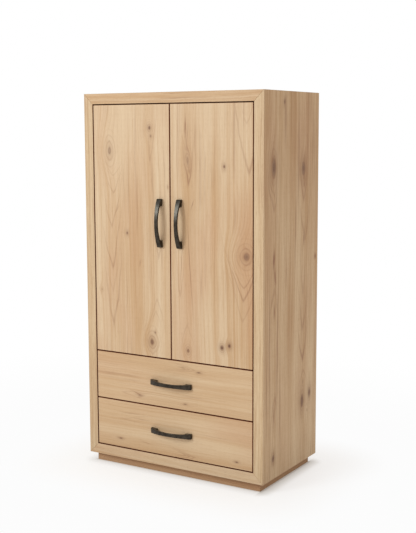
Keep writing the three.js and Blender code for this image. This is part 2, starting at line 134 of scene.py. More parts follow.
def mix(tree, factor, first, second, blend="MIX"):
    """The first colour where the factor is 0 and the second, or their blend, where it is 1."""
    node = tree.nodes.new("ShaderNodeMix")
    node.data_type, node.blend_type = "RGBA", blend
    feed(tree, factor, node.inputs[0])
    feed(tree, first, node.inputs[6])
    feed(tree, second, node.inputs[7])
    return Field(tree, node.outputs[2])


def bump(tree, height, distance, strength=1.0):
    """Normals of a relief whose height of 1 stands a distance out, in metres."""
    node = tree.nodes.new("ShaderNodeBump")
    node.inputs["Distance"].default_value = distance
    node.inputs["Strength"].default_value = strength
    feed(tree, height, node.inputs["Height"])
    return Field(tree, node.outputs["Normal"])


def material(name, metallic=0.0):
    """A new material: its tree, its Principled shader and the coordinates at rest."""
    made = bpy.data.materials.new(name)
    made.use_nodes = True
    tree = made.node_tree
    shader = tree.nodes["Principled BSDF"]
    shader.inputs["Metallic"].default_value = metallic
    where = tree.nodes.new("ShaderNodeTexCoord").outputs["Object"]
    split = tree.nodes.new("ShaderNodeSeparateXYZ")
    tree.links.new(where, split.inputs[0])
    return made, tree, shader, [Field(tree, out) for out in split.outputs]


# ---- Wood ----

OAK = {
    "pale": srgb(223, 199, 167),
    "tan": srgb(200, 163, 121),
    "rose": srgb(204, 163, 129),
    "line": srgb(142, 93, 66),
    "knot": srgb(94, 58, 42),
    "figure": 1.0,
}
CALM_OAK = dict(OAK, pale=srgb(220, 193, 158), tan=srgb(203, 168, 128), figure=0.85)
# The case's sides: a stronger figure of the grain, and a darker tone that is painted shade of the sides.
WARM_OAK = dict(OAK, pale=srgb(222, 198, 163), tan=srgb(192, 156, 115), rose=srgb(197, 158, 124), figure=1.5)
# A darker oak for the plinth boards: painted shade of their recess under the case.
PLINTH_PAINTED_SHADE_OAK = dict(OAK, pale=srgb(200, 164, 128), tan=srgb(180, 138, 98), rose=srgb(182, 138, 104))
BIRCH = {
    "pale": srgb(232, 210, 176),
    "tan": srgb(220, 194, 155),
    "rose": srgb(222, 190, 156),
    "line": srgb(186, 150, 118),
    "knot": srgb(140, 100, 76),
    "figure": 0.55,
}
# Painted shade: the dark brown that the faces inside the gaps round the fronts are multiplied by, and how
# strongly.
GAP_PAINTED_SHADE = srgb(158, 84, 34)
GAP_PAINTED_SHADE_STRENGTH = 0.97

# Growth bands, dark lines, fibres and pores per metre across the grain.
BROAD_BANDS, NARROW_BANDS = 13.0, 62.0
THREADS, STRANDS = 42.0, 150.0
FIBRES, PORES = 520.0, 1500.0
DEPTH_SHIFT = 0.7  # how far the figure moves across the board for each unit of depth
CROOK = 12 * MM  # how far noise bends knots, streaks and arcs


class Grain:
    """A board's coordinates across and along its grain, and the slow and fast noise that bends them."""

    def __init__(self, tree, axes, node, along, across, seed, face):
        low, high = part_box(node)
        depth = ({X, Y, Z} - {along, across}).pop()
        self.tree, self.seed = tree, seed
        self.width, self.length = (low[across], high[across]), (low[along], high[along])
        self.lengthwise = axes[along]
        self.behind = axes[depth] - (low[depth] if face is None else face)
        self.crosswise = axes[across] + self.behind * DEPTH_SHIFT
        self.slow = self.cloud(3.0, 0.9, 0.0, 1.0) - 0.5
        self.fast = self.cloud(22.0, 9.0, 3.0) - 0.5
        self.waver = self.cloud(7.0, 4.0, 17.0) - 0.5
        self.drift = self.cloud(8.0, 1.1, 5.0)
        self.crooked = self.crosswise + self.fast * CROOK

    def cloud(self, across, along, offset, detail=2.0):
        """Noise with its own scale across and along the grain."""
        place = vector(self.tree, self.crosswise * across, self.lengthwise * along, self.seed + offset)
        return noise(self.tree, place, detail)

    def place(self, u, v):
        """A point of the board from fractions of its width and its length."""
        (left, right), (foot, head) = self.width, self.length
        return left + u * (right - left), foot + v * (head - foot)


def knotted(grain, knots):
    """Rings that close round the knots, with the knots' ripples, dark cores and stains."""
    rings = grain.crosswise + (grain.slow * 0.05 + grain.fast * 0.005)
    zero = grain.tree.nodes.new("ShaderNodeValue").outputs[0]
    zero.default_value = 0.0
    ripples = cores = stains = Field(grain.tree, zero)
    for u, v, stretch, size, sharpness, radius, dark in knots:
        at, along_at = grain.place(u, v)
        across_from = (grain.crooked - at).size().power(sharpness)
        along_from = ((grain.lengthwise - along_at) / stretch + grain.slow * CROOK).size().power(sharpness)
        distance = (across_from + along_from).power(1.0 / sharpness)
        weight = distance.bell(size)
        rings = rings * (weight * -1.0 + 1.0) + (distance + at) * weight
        ripple = ((distance / (size * 0.3) + grain.fast * 0.8).op("FRACT") - 0.5).bell(0.14)
        ripples = ripples.op("MAXIMUM", ripple * distance.bell(size * 0.85) * (0.15 + 0.28 * dark))
        cores = cores.op("MAXIMUM", distance.ramp(radius * 1.3, radius * 0.35) * dark)
        stains = stains.op("MAXIMUM", distance.bell(radius * 2.2) * (0.5 * dark))
    return rings, ripples, cores, stains


def latewood(grain, rings, streaks, arcs, figure):
    """Thin dark lines: threads that come and go along their length, streaks and arcs."""
    threads = (noise(grain.tree, rings * THREADS + grain.seed * 11.0, 1.5) - 0.5).bell(0.013)
    lines = threads * grain.cloud(7.0, 2.2, 13.0).ramp(0.5, 0.68) * (0.34 * figure)
    for u, v, length, width, strength, lean in streaks:
        at, along_at = grain.place(u, v)
        run = grain.lengthwise - along_at
        across_from = (grain.crooked + grain.slow * 0.03 - run * lean - at).bell(width)
        lines = lines.op("MAXIMUM", across_from * run.bell(length) * strength)
    for u, v, width, height, thickness, strength in arcs:
        at, along_at = grain.place(u, v)
        reach = (grain.crooked + grain.waver * 0.045 - at).size() / width
        rise = (grain.lengthwise - along_at) / height + grain.waver * 0.25
        edge = (rise - reach.power(1.35)).bell(1.3 * thickness / width) * rise.bell(1.1)
        lines = lines.op("MAXIMUM", edge * (grain.drift * 1.6 - 0.2) * strength)
    return lines


def timber(name, node, along, across, seed, knots=(), streaks=(), arcs=(), palette=OAK, face=None, layers=0.0,
           shaded=None, lifted=None):
    """Wood for a CAD node's board, whose grain runs along one axis and whose face spans another.

    Places are (across, along) in fractions of the board, sizes are in metres.
    A knot is (across, along, stretch, size, sharpness, core radius, darkness). The rings close
    round it, stretched along the grain, pointed where sharpness is under 2.
    A streak is (across, along, half length, width, strength, lean).
    An arc is (across, along, half width, height, thickness, strength): a growth ring that
    shows as a point at its place and opens up the board, or down it where height is negative.
    With layers, the edges show plies that thick. The painted shade and painted light arguments are functions
    of the
    coordinates: 1 on the faces inside a reveal, which are darkened as painted shade, and 1 where painted
    light makes the wood paler.
    """
    made, tree, shader, axes = material(name)
    grain = Grain(tree, axes, node, along, across, seed, face)
    figure = palette["figure"]
    rings, ripples, cores, stains = knotted(grain, knots)
    lines = ripples.op("MAXIMUM", latewood(grain, rings, streaks, arcs, figure))

    broad = noise(tree, rings * BROAD_BANDS + seed * 7.0, 1.0)
    narrow = noise(tree, rings * NARROW_BANDS + seed * 3.0, 3.0, 0.62)
    tone = (broad * 0.36 + narrow * 0.3 + grain.drift * 0.5).ramp(0.38, 0.78)
    colour = mix(tree, tone, palette["pale"], palette["tan"])
    colour = mix(tree, grain.cloud(4.0, 1.3, 9.0).ramp(0.48, 0.72) * 0.45, colour, palette["rose"])
    # Painted light: the wood is mixed towards its palest tone where the mask is 1.
    if lifted:
        colour = mix(tree, lifted(*axes) * 0.4, colour, palette["pale"])
    colour = mix(tree, stains.op("MINIMUM", 0.8), colour, palette["line"], "MULTIPLY")
    colour = mix(tree, lines * 1.1, colour, palette["line"])

    # Streaks a few millimetres wide, then fibres and open pores.
    strand = noise(tree, vector(tree, rings * STRANDS, grain.lengthwise * 1.8, seed + 21.0), 2.0, 0.6)
    colour = mix(tree, strand.ramp(0.45, 0.75) * 0.2 * figure, colour, palette["tan"], "MULTIPLY")
    colour = mix(tree, strand.ramp(0.5, 0.25) * 0.16 * figure, colour, palette["pale"])
    place = vector(tree, grain.crosswise * FIBRES, grain.lengthwise * 12.0, grain.behind * 300.0)
    fibre = noise(tree, place, 2.0, 0.6)
    place = vector(tree, grain.crosswise * PORES, grain.lengthwise * 38.0, grain.behind * 900.0)
    pore = noise(tree, place, 1.0).ramp(0.62, 0.74)
    colour = mix(tree, fibre.ramp(0.3, 0.75) * 0.2 * figure, colour, palette["tan"], "MULTIPLY")
    colour = mix(tree, pore * 0.3 * figure, colour, palette["line"])
    grainy = cores * (narrow * 0.8 + 0.45)
    colour = mix(tree, grainy.op("MINIMUM", 0.95), colour, palette["knot"])
    rough = fibre * 0.14 + narrow * 0.06 + pore * 0.12 + 0.46
    if layers:
        odd = ((grain.behind / (2.0 * layers)).op("FRACT")).op("GREATER_THAN", 0.5)
        colour = mix(tree, odd * 0.35, colour, palette["tan"], "MULTIPLY")
    # Painted shade: the faces inside a reveal are multiplied towards a dark brown, as if in the shade of the
    # gap, and made rougher.
    if shaded:
        shade = shaded(*axes)
        colour = mix(tree, shade * GAP_PAINTED_SHADE_STRENGTH, colour, GAP_PAINTED_SHADE, "MULTIPLY")
        rough = rough + shade * 0.34
    feed(tree, colour, shader.inputs["Base Color"])
    feed(tree, rough, shader.inputs["Roughness"])
    relief = fibre * 0.5 + narrow * 0.4 - pore - cores * 0.8
    feed(tree, bump(tree, relief, 0.18 * MM, 0.6), shader.inputs["Normal"])
    shader.inputs["IOR"].default_value = 1.45
    return made


# Knots, streaks and arcs of each oak board that the eye can tell apart.
DOOR_LEFT = dict(
    knots=(
        (0.215, 0.820, 2.1, 0.050, 1.8, 0.0110, 0.42),
        (0.745, 0.912, 1.3, 0.030, 1.9, 0.0075, 0.75),
        (0.762, 0.880, 1.3, 0.018, 1.9, 0.0060, 0.45),
        (0.437, 0.492, 1.3, 0.018, 1.8, 0.0060, 0.65),
        (0.760, 0.058, 1.6, 0.050, 1.7, 0.0110, 0.75),
        (0.800, 0.098, 1.3, 0.010, 1.9, 0.0045, 0.60),
        (0.082, 0.255, 1.6, 0.018, 1.9, 0.0040, 0.25),
    ),
    streaks=(
        (0.310, 0.585, 0.016, 0.0018, 0.50, 0.50),
        (0.600, 0.375, 0.016, 0.0035, 0.40, 0.10),
        (0.790, 0.700, 0.110, 0.0040, 0.30, -0.03),
        (0.975, 0.680, 0.012, 0.0050, 0.45, 0.0),
        (0.420, 0.250, 0.150, 0.0022, 0.30, 0.02),
        (0.560, 0.800, 0.200, 0.0030, 0.22, 0.0),
    ),
    arcs=(
        (0.250, 0.720, 0.045, 0.050, 0.0022, 0.50),
        (0.245, 0.650, 0.050, 0.100, 0.0022, 0.50),
        (0.235, 0.520, 0.052, 0.180, 0.0024, 0.55),
        (0.230, 0.348, 0.050, 0.200, 0.0028, 0.70),
        (0.225, 0.250, 0.036, 0.160, 0.0022, 0.40),
        (0.235, 0.121, 0.046, 0.280, 0.0030, 0.70),
        (0.832, 0.400, 0.030, 0.180, 0.0028, 0.65),
        (0.828, 0.430, 0.018, 0.110, 0.0020, 0.45),
        (0.828, 0.232, 0.036, -0.110, 0.0024, 0.55),
        (0.815, 0.185, 0.028, -0.070, 0.0020, 0.45),
        (0.790, 0.015, 0.045, 0.090, 0.0022, 0.45),
        (0.760, 0.790, 0.026, 0.170, 0.0022, 0.40),
    ),
)
DOOR_RIGHT = dict(
    knots=(
        (0.215, 0.790, 3.0, 0.032, 1.8, 0.0080, 0.28),
        (0.661, 0.765, 1.4, 0.018, 1.9, 0.0060, 0.70),
        (0.922, 0.429, 1.2, 0.070, 1.8, 0.0150, 0.62),
        (0.635, 0.071, 1.3, 0.024, 1.9, 0.0090, 0.88),
        (0.720, 0.082, 1.3, 0.020, 1.9, 0.0075, 0.88),
        (0.211, 0.042, 1.4, 0.032, 1.7, 0.0070, 0.62),
    ),
    streaks=(
        (0.203, 0.908, 0.050, 0.0032, 0.80, 0.0),
        (0.250, 0.375, 0.190, 0.0022, 0.62, -0.05),
        (0.140, 0.390, 0.090, 0.0024, 0.45, 0.06),
        (0.290, 0.615, 0.020, 0.0026, 0.50, 0.35),
        (0.560, 0.800, 0.180, 0.0030, 0.22, 0.0),
        (0.550, 0.350, 0.160, 0.0026, 0.25, 0.01),
    ),
    arcs=(
        (0.224, 0.698, 0.030, 0.160, 0.0026, 0.60),
        (0.236, 0.735, 0.018, 0.110, 0.0022, 0.45),
        (0.955, 0.745, 0.073, 0.302, 0.0034, 0.75),
        (0.930, 0.925, 0.030, 0.080, 0.0022, 0.45),
        (0.895, 0.265, 0.085, 0.200, 0.0028, 0.62),
        (0.900, 0.310, 0.066, 0.110, 0.0024, 0.50),
        (0.890, 0.190, 0.100, 0.280, 0.0022, 0.30),
        (0.211, 0.140, 0.036, -0.110, 0.0022, 0.42),
        (0.120, 0.260, 0.030, 0.200, 0.0020, 0.35),
    ),
)
SIDE_RIGHT = dict(
    knots=(
        (0.172, 0.808, 2.1, 0.052, 1.8, 0.0200, 0.74),
        (0.705, 0.799, 1.8, 0.036, 1.8, 0.0190, 0.70),
        (0.715, 0.173, 2.0, 0.036, 1.8, 0.0175, 0.72),
        (0.854, 0.187, 2.2, 0.026, 1.8, 0.0125, 0.76),
        (0.820, 0.140, 2.2, 0.024, 1.8, 0.0050, 0.25),
        (0.725, 0.225, 2.2, 0.024, 1.6, 0.0050, 0.25),
        (0.180, 0.055, 1.8, 0.020, 1.8, 0.0100, 0.95),
        (0.355, 0.972, 1.8, 0.014, 1.8, 0.0070, 0.65),
    ),
    streaks=(
        (0.180, 0.575, 0.040, 0.0100, 0.90, 0.06),
        (0.200, 0.530, 0.045, 0.0088, 0.75, -0.06),
        (0.190, 0.440, 0.035, 0.0088, 0.62, 0.0),
        (0.190, 0.170, 0.050, 0.0075, 0.56, 0.05),
        (0.250, 0.350, 0.300, 0.0056, 0.56, 0.01),
        (0.110, 0.330, 0.280, 0.0050, 0.56, -0.01),
        (0.300, 0.180, 0.200, 0.0056, 0.50, 0.0),
        (0.060, 0.250, 0.220, 0.0050, 0.50, 0.0),
        (0.610, 0.820, 0.250, 0.0056, 0.53, 0.0),
        (0.370, 0.930, 0.110, 0.0137, 0.40, 0.0),
        (0.400, 0.530, 0.050, 0.0037, 0.50, 0.0),
        (0.720, 0.620, 0.040, 0.0056, 0.69, 0.15),
        (0.560, 0.640, 0.160, 0.0050, 0.44, 0.02),
        (0.950, 0.560, 0.014, 0.0088, 0.81, 0.0),
        (0.880, 0.880, 0.160, 0.0044, 0.38, 0.0),
        (0.960, 0.250, 0.240, 0.0044, 0.38, 0.0),
    ),
    arcs=(
        (0.165, 0.700, 0.050, 0.130, 0.0050, 0.55),
        (0.170, 0.735, 0.040, 0.080, 0.0040, 0.45),
        (0.720, 0.722, 0.040, 0.120, 0.0050, 0.55),
        (0.720, 0.755, 0.032, 0.070, 0.0040, 0.45),
        (0.735, 0.610, 0.050, 0.180, 0.0050, 0.50),
        (0.720, 0.475, 0.040, 0.200, 0.0050, 0.50),
        (0.715, 0.376, 0.048, 0.160, 0.0055, 0.60),
        (0.715, 0.289, 0.048, 0.130, 0.0060, 0.75),
        (0.725, 0.255, 0.040, -0.060, 0.0040, 0.45),
        (0.190, 0.500, 0.050, -0.200, 0.0050, 0.45),
        (0.200, 0.215, 0.040, -0.150, 0.0045, 0.45),
    ),
)
UPPER_DRAWER = dict(
    knots=(
        (0.880, 0.575, 3.0, 0.012, 1.7, 0.0030, 0.20),
        (0.817, 0.676, 2.6, 0.012, 1.9, 0.0036, 0.70),
        (0.168, 0.284, 3.4, 0.012, 1.7, 0.0040, 0.55),
        (0.130, 0.585, 3.0, 0.010, 1.9, 0.0030, 0.50),
    ),
    streaks=(
        (0.185, 0.275, 0.034, 0.0024, 0.65, -0.25),
        (0.120, 0.292, 0.020, 0.0020, 0.60, 0.25),
        (0.500, 0.080, 0.050, 0.0022, 0.30, 0.0),
        (0.280, 0.640, 0.060, 0.0024, 0.30, 0.0),
    ),
    arcs=(
        (0.880, 0.640, 0.026, -0.110, 0.0018, 0.40),
        (0.880, 0.610, 0.020, -0.080, 0.0018, 0.40),
        (0.870, 0.585, 0.014, -0.060, 0.0016, 0.40),
        (0.180, 0.180, 0.024, 0.160, 0.0018, 0.35),
    ),
)
LOWER_DRAWER = dict(
    knots=(
        (0.191, 0.156, 2.8, 0.012, 1.9, 0.0036, 0.75),
        (0.141, 0.903, 2.4, 0.012, 1.9, 0.0036, 0.75),
    ),
    streaks=(
        (0.780, 0.230, 0.060, 0.0026, 0.35, -0.02),
        (0.680, 0.300, 0.050, 0.0026, 0.30, -0.02),
        (0.180, 0.330, 0.030, 0.0020, 0.35, 0.0),
        (0.560, 0.760, 0.090, 0.0024, 0.22, 0.0),
    ),
    arcs=(
        (0.080, 0.640, 0.028, -0.110, 0.0018, 0.45),
        (0.090, 0.610, 0.020, -0.080, 0.0018, 0.45),
        (0.100, 0.585, 0.014, -0.060, 0.0016, 0.45),
        (0.640, 0.180, 0.024, 0.200, 0.0018, 0.30),
    ),
)
SIDE_LEFT = dict(
    knots=(
        (0.30, 0.66, 2.0, 0.046, 1.8, 0.018, 0.70),
        (0.62, 0.86, 1.6, 0.026, 1.8, 0.010, 0.70),
        (0.22, 0.12, 1.8, 0.028, 1.8, 0.009, 0.80),
    ),
    streaks=(
        (0.55, 0.50, 0.300, 0.0040, 0.40, 0.01),
        (0.80, 0.70, 0.240, 0.0040, 0.35, 0.0),
    ),
    arcs=(
        (0.68, 0.42, 0.050, 0.200, 0.0050, 0.60),
        (0.68, 0.30, 0.050, 0.180, 0.0050, 0.60),
        (0.30, 0.55, 0.045, 0.120, 0.0045, 0.50),
    ),
)
TOP = dict(
    knots=((0.70, 0.72, 1.8, 0.030, 1.8, 0.009, 0.7),),
    arcs=((0.40, 0.30, 0.050, 0.260, 0.0030, 0.5), (0.40, 0.42, 0.040, 0.200, 0.0030, 0.4)),
)


def board(name, along, across, seed, palette=OAK, **figure):
    """Gives a CAD node its own wood."""
    made = timber(f"{name}_wood", name, along, across, seed, palette=palette, **figure)
    NODES[name].data.materials.clear()
    NODES[name].data.materials.append(made)


front_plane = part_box("case_side_right")[0].y
front_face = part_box("door_left")[0].y
front_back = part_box("door_left")[1].y


def front_edges(x, y, z):
    """Painted shade: the edges of a door or drawer front, from its face to just short of its back, darkened
    as if in the shade of the gaps.
    """
    return (y - front_face).ramp(0.0, 0.9 * MM) * (y - front_back).ramp(-0.4 * MM, -0.2 * MM, 1.0, 0.0)


def door_top(x, y, z):
    """Painted light: the upper part of the doors, painted paler as a sheen of the light from above."""
    return z.ramp(1.25, 1.85)


def frame_front(x, y, z):
    """Painted light: the front edges of the case's sides, painted paler than the sides' painted shade."""
    return (y - front_plane).ramp(1.0 * MM, 2.0 * MM, 1.0, 0.0)


def side_foot(x, y, z):
    """Painted light: the front edge, and the lower part of the right side painted paler as light bounced up
    from the floor.
    """
    return frame_front(x, y, z).op("MAXIMUM", z.ramp(1.0, 0.3) * 0.9)


def frame_reveal(axis, inner):
    """Painted shade: the faces of the case that line the opening, as deep as the doors, darkened as if in the
    shade of the gaps.
    """
    def inside(*axes):
        beside = (axes[axis] - inner).size().ramp(0.2 * MM, 0.6 * MM, 1.0, 0.0)
        y = axes[Y]
        strip = (y - front_plane).ramp(0.3 * MM, 1.5 * MM) * (y - front_back).ramp(0.0, 1.0 * MM, 1.0, 0.0)
        return beside * strip
    return inside


def deck_edge(x, y, z):
    """Painted shade: the front edge of the deck, which shows in the gap above the upper drawer, darkened as
    the shade in that gap.
    """
    return (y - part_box("deck")[0].y).ramp(0.5 * MM, 1.5 * MM, 1.0, 0.0)


def oak_boards():
    """The doors, the drawer fronts, the case with its shelves, and the plinth."""
    board("door_left", Z, X, 1.3, shaded=front_edges, lifted=door_top, **DOOR_LEFT)
    board("door_right", Z, X, 4.7, shaded=front_edges, lifted=door_top, **DOOR_RIGHT)
    board("upper_drawer_front", X, Z, 8.1, CALM_OAK, shaded=front_edges, **UPPER_DRAWER)
    board("lower_drawer_front", X, Z, 12.6, CALM_OAK, shaded=front_edges, **LOWER_DRAWER)
    inner, outer = (corner.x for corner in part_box("case_side_right"))
    board("case_side_right", Z, Y, 17.2, WARM_OAK, face=outer,
          shaded=frame_reveal(X, inner), lifted=side_foot, **SIDE_RIGHT)
    board("case_side_left", Z, Y, 21.9, WARM_OAK, face=-outer,
          shaded=frame_reveal(X, -inner), lifted=frame_front, **SIDE_LEFT)
    board("case_top", X, Y, 25.4, shaded=frame_reveal(Z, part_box("case_top")[0].z), **TOP)
    board("case_bottom", X, Y, 29.8, shaded=frame_reveal(Z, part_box("case_bottom")[1].z))
    board("deck", X, Y, 33.1, shaded=deck_edge)
    board("hat_shelf", X, Y, 37.6)
    # The plinth boards get the darker oak, painted shade of their recess.
    for index, where in enumerate(("front", "back", "left", "right")):
        board(f"plinth_{where}", X if index < 2 else Y, Z, 41.3 + 4.1 * index, PLINTH_PAINTED_SHADE_OAK)


def birch_boards():
    """The plywood back and the two drawer boxes."""
    board("back_panel", Z, X, 58.2, palette=BIRCH, layers=1.6 * MM)
    for index, drawer in enumerate(DRAWERS):
        seed = 62.0 + 20.0 * index
        board(f"{drawer}_box_front", X, Z, seed, palette=BIRCH)
        board(f"{drawer}_box_back", X, Z, seed + 3.3, palette=BIRCH)
        board(f"{drawer}_box_left", Y, Z, seed + 6.1, palette=BIRCH)
        board(f"{drawer}_box_right", Y, Z, seed + 9.4, palette=BIRCH)
        board(f"{drawer}_box_bottom", X, Y, seed + 12.7, palette=BIRCH, layers=1.2 * MM)


oak_boards()
birch_boards()


# ---- Metal and plastic ----

ACROSS_BRUSH, ALONG_BRUSH = 900.0, 12.0  # marks per metre


def cast_bronze():
    """Dark bronze: a fine cast skin under a satin finish."""
    made, tree, shader, (x, y, z) = material("dark_bronze", 1.0)
    place = vector(tree, x, y, z)
    cloud = noise(tree, place, 3.0, 0.6, 60.0)
    skin = noise(tree, place, 3.0, 0.6, 1400.0)
    colour = mix(tree, cloud.ramp(0.3, 0.7), srgb(58, 54, 49), srgb(76, 72, 66))
    feed(tree, colour, shader.inputs["Base Color"])
    feed(tree, skin * 0.1 + cloud * 0.08 + 0.22, shader.inputs["Roughness"])
    feed(tree, bump(tree, skin, 0.08 * MM, 0.5), shader.inputs["Normal"])
    return made


def plated(name, dark, light, rough, brush):
    """Plated steel with a brushed or rolled texture along one axis."""
    made, tree, shader, (x, y, z) = material(name, 1.0)
    scale = [ACROSS_BRUSH, ACROSS_BRUSH, ACROSS_BRUSH]
    scale[brush] = ALONG_BRUSH
    drawn = noise(tree, vector(tree, x * scale[0], y * scale[1], z * scale[2]), 2.0, 0.6)
    cloud = noise(tree, vector(tree, x, y, z), 3.0, 0.6, 45.0)
    colour = mix(tree, cloud.ramp(0.25, 0.75), dark, light)
    feed(tree, colour, shader.inputs["Base Color"])
    feed(tree, drawn * 0.14 + cloud * 0.1 + rough, shader.inputs["Roughness"])
    feed(tree, bump(tree, drawn, 0.03 * MM, 0.6), shader.inputs["Normal"])
    return made


def moulded(name, colour, rough):
    """Moulded plastic with a faint eggshell texture."""
    made, tree, shader, (x, y, z) = material(name)
    place = vector(tree, x, y, z)
    grain = noise(tree, place, 2.0, 0.5, 1800.0)
    cloud = noise(tree, place, 2.0, 0.5, 120.0)
    dim = tuple(0.82 * value for value in colour[:3]) + (1.0,)
    feed(tree, mix(tree, cloud.ramp(0.3, 0.7), dim, colour), shader.inputs["Base Color"])
    feed(tree, grain * 0.15 + rough, shader.inputs["Roughness"])
    feed(tree, bump(tree, grain, 0.04 * MM, 0.5), shader.inputs["Normal"])
    return made


BRONZE = cast_bronze()
ZINC = plated("bright_zinc", srgb(176, 178, 180), srgb(205, 206, 208), 0.2, Y)
NICKEL = plated("satin_nickel", srgb(176, 173, 168), srgb(206, 203, 198), 0.16, X)
SCREW_STEEL = plated("screw_steel", srgb(150, 148, 142), srgb(196, 193, 186), 0.22, Z)
SILICONE = moulded("clear_silicone", srgb(222, 222, 216), 0.25)
NYLON = moulded("black_nylon", srgb(38, 38, 40), 0.4)

for name, node in NODES.items():
    if "handle" in name:
        skin = BRONZE
    elif "slide" in name or name.endswith(("_fork", "_hook")):
        skin = ZINC
    elif name.endswith(("_cup", "_arm")) or "rod" in name:
        skin = NICKEL
    else:
        continue
    node.data.materials.clear()
    node.data.materials.append(skin)


# ---- Edges ----

def rounded(node, width, segments=3):
    """Rounds a CAD node's sharp edges without moving its vertices' own data."""
    node.modifiers.new("weld", "WELD").merge_threshold = 1e-5
    flat = node.modifiers.new("flat", "DECIMATE")
    flat.decimate_type, flat.angle_limit = "DISSOLVE", math.radians(1.0)
    edge = node.modifiers.new("edge", "BEVEL")
    edge.width, edge.segments = width, segments
    edge.limit_method, edge.angle_limit = "ANGLE", math.radians(38)
    edge.use_clamp_overlap = True
    node.modifiers.new("shade", "WEIGHTED_NORMAL").keep_sharp = True
    smooth(node.data)


def smooth(mesh):
    mesh.polygons.foreach_set("use_smooth", [True] * len(mesh.polygons))


def round_faces(node, angle=32):
    """Shades a CAD node's curved faces smooth and keeps its corners crisp."""
    node.modifiers.new("weld", "WELD").merge_threshold = 1e-5
    node.modifiers.new("split", "EDGE_SPLIT").split_angle = math.radians(angle)
    smooth(node.data)


for name, node in NODES.items():
    if "handle" in name:
        rounded(node, 1.5 * MM)
    elif name.endswith(("_cup", "_arm", "_fork", "_hook")) or "rod" in name:
        round_faces(node)


# ---- Small pieces ----

def add(name, bm, skin, body):
    """A new piece from a bmesh in the row frame, which rides on a body."""
    mesh = bpy.data.meshes.new(name)
    bmesh.ops.recalc_face_normals(bm, faces=bm.faces)
    bm.to_mesh(mesh)
    bm.free()
    mesh.materials.append(skin)
    piece = bpy.data.objects.new(name, mesh)
    bpy.context.scene.collection.objects.link(piece)
    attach(piece, body)
    return piece


def crisp(piece, angle=35):
    """Smooth shading with crisp corners."""
    piece.modifiers.new("split", "EDGE_SPLIT").split_angle = math.radians(angle)
    smooth(piece.data)
    return piece


def eased(piece, width):
    """Small bevels on every corner, with smooth shading."""
    edge = piece.modifiers.new("edge", "BEVEL")
    edge.width, edge.segments = width, 2
    edge.limit_method = "ANGLE"
    piece.modifiers.new("shade", "WEIGHTED_NORMAL").keep_sharp = True
    smooth(piece.data)
    return piece


def facing(at, direction):
    """A matrix whose Z axis points along a direction from a point."""
    turn = Vector((0, 0, 1)).rotation_difference(Vector(direction))
    return Matrix.Translation(at) @ turn.to_matrix().to_4x4()


def circle(bm, matrix, radius, height, steps):
    """Vertices round the matrix's Z axis, or the one on it where the radius is zero."""
    if radius == 0:
        return [bm.verts.new(matrix @ Vector((0, 0, height)))]
    turns = [2 * math.pi * step / steps for step in range(steps)]
    points = [Vector((radius * math.cos(turn), radius * math.sin(turn), height)) for turn in turns]
    return [bm.verts.new(matrix @ point) for point in points]


def wall(bm, lower, upper):
    """Faces between two closed loops of vertices, either of which may be a single point."""
    steps = max(len(lower), len(upper))
    for i in range(steps):
        j = (i + 1) % steps
        loop = [lower[i % len(lower)], lower[j % len(lower)], upper[j % len(upper)], upper[i % len(upper)]]
        bm.faces.new(list(dict.fromkeys(loop)))


def turned(bm, profile, matrix, steps=20):
    """A solid of revolution about the matrix's Z axis; the profile starts and ends on the axis."""
    rings = [circle(bm, matrix, radius, height, steps) for radius, height in profile]
    for lower, upper in zip(rings, rings[1:]):
        wall(bm, lower, upper)


def screw_head(bm, at, direction, radius):
    """A low domed head with a cross recess, its flat underside at a point of the surface."""
    matrix = facing(at, direction)
    height, arm, slot = 0.42 * radius, 0.58 * radius, 0.13 * radius
    dome = [(0.98 * radius, 0), (radius, 0.12 * radius),
            (0.9 * radius, 0.7 * height), (0.74 * radius, height)]
    rings = [circle(bm, matrix, reach, level, 20) for reach, level in dome]
    bm.faces.new(rings[0])
    for lower, upper in zip(rings, rings[1:]):
        wall(bm, lower, upper)
    corners = [(arm, -slot), (arm, slot), (slot, slot), (slot, arm), (-slot, arm), (-slot, slot),
               (-arm, slot), (-arm, -slot), (-slot, -slot), (-slot, -arm), (slot, -arm), (slot, -slot)]

    def cross(level, shrink):
        return [bm.verts.new(matrix @ Vector((x * shrink, y * shrink, level))) for x, y in corners]

    rim, bottom = cross(height, 1.0), cross(0.35 * height, 0.7)
    edges = [bm.edges.get(pair) for pair in zip(rings[-1], rings[-1][1:] + rings[-1][:1])]
    edges += [bm.edges.new(pair) for pair in zip(rim, rim[1:] + rim[:1])]
    bmesh.ops.triangle_fill(bm, edges=edges, use_beauty=True)
    wall(bm, rim, bottom)
    bm.faces.new(bottom)


def screws(name, places, radius, body, skin=SCREW_STEEL):
    """Screw heads at (point, direction) places, as one piece on a body."""
    bm = bmesh.new()
    for at, direction in places:
        screw_head(bm, Vector(at), direction, radius)
    return crisp(add(name, bm, skin, body))


def prism(bm, outline, low, high, axis):
    """A prism over an outline of the two other axes, in cyclic order, from low to high."""
    def point(pair, height):
        parts = [0.0, 0.0, 0.0]
        parts[axis], parts[(axis + 1) % 3], parts[(axis + 2) % 3] = height, pair[0], pair[1]
        return bm.verts.new(parts)

    bottom = [point(pair, low) for pair in outline]
    top = [point(pair, high) for pair in outline]
    bm.faces.new(bottom)
    bm.faces.new(top)
    wall(bm, bottom, top)


def outward(low, high, side):
    """The x of a box's face that looks away from the middle of the armoire."""
    return high.x if side > 0 else low.x


# ---- Hinges ----

CUP_SCREW_STEP = 24.6 * MM  # from the middle of a cup up or down to its screw
PLATE_SCREW_STEP = 17 * MM  # from the middle of a base plate up or down to its screw
PLATE_SETBACK = 38.5 * MM  # from the arm's front end back to the plate's screws
PLATE_THICKNESS = 2.5 * MM
ARM_TOP = 13 * MM  # how far the arm stands out from the case
ADJUSTER_SETBACKS = (31 * MM, 53 * MM)  # from the arm's front end back to its two adjusting screws


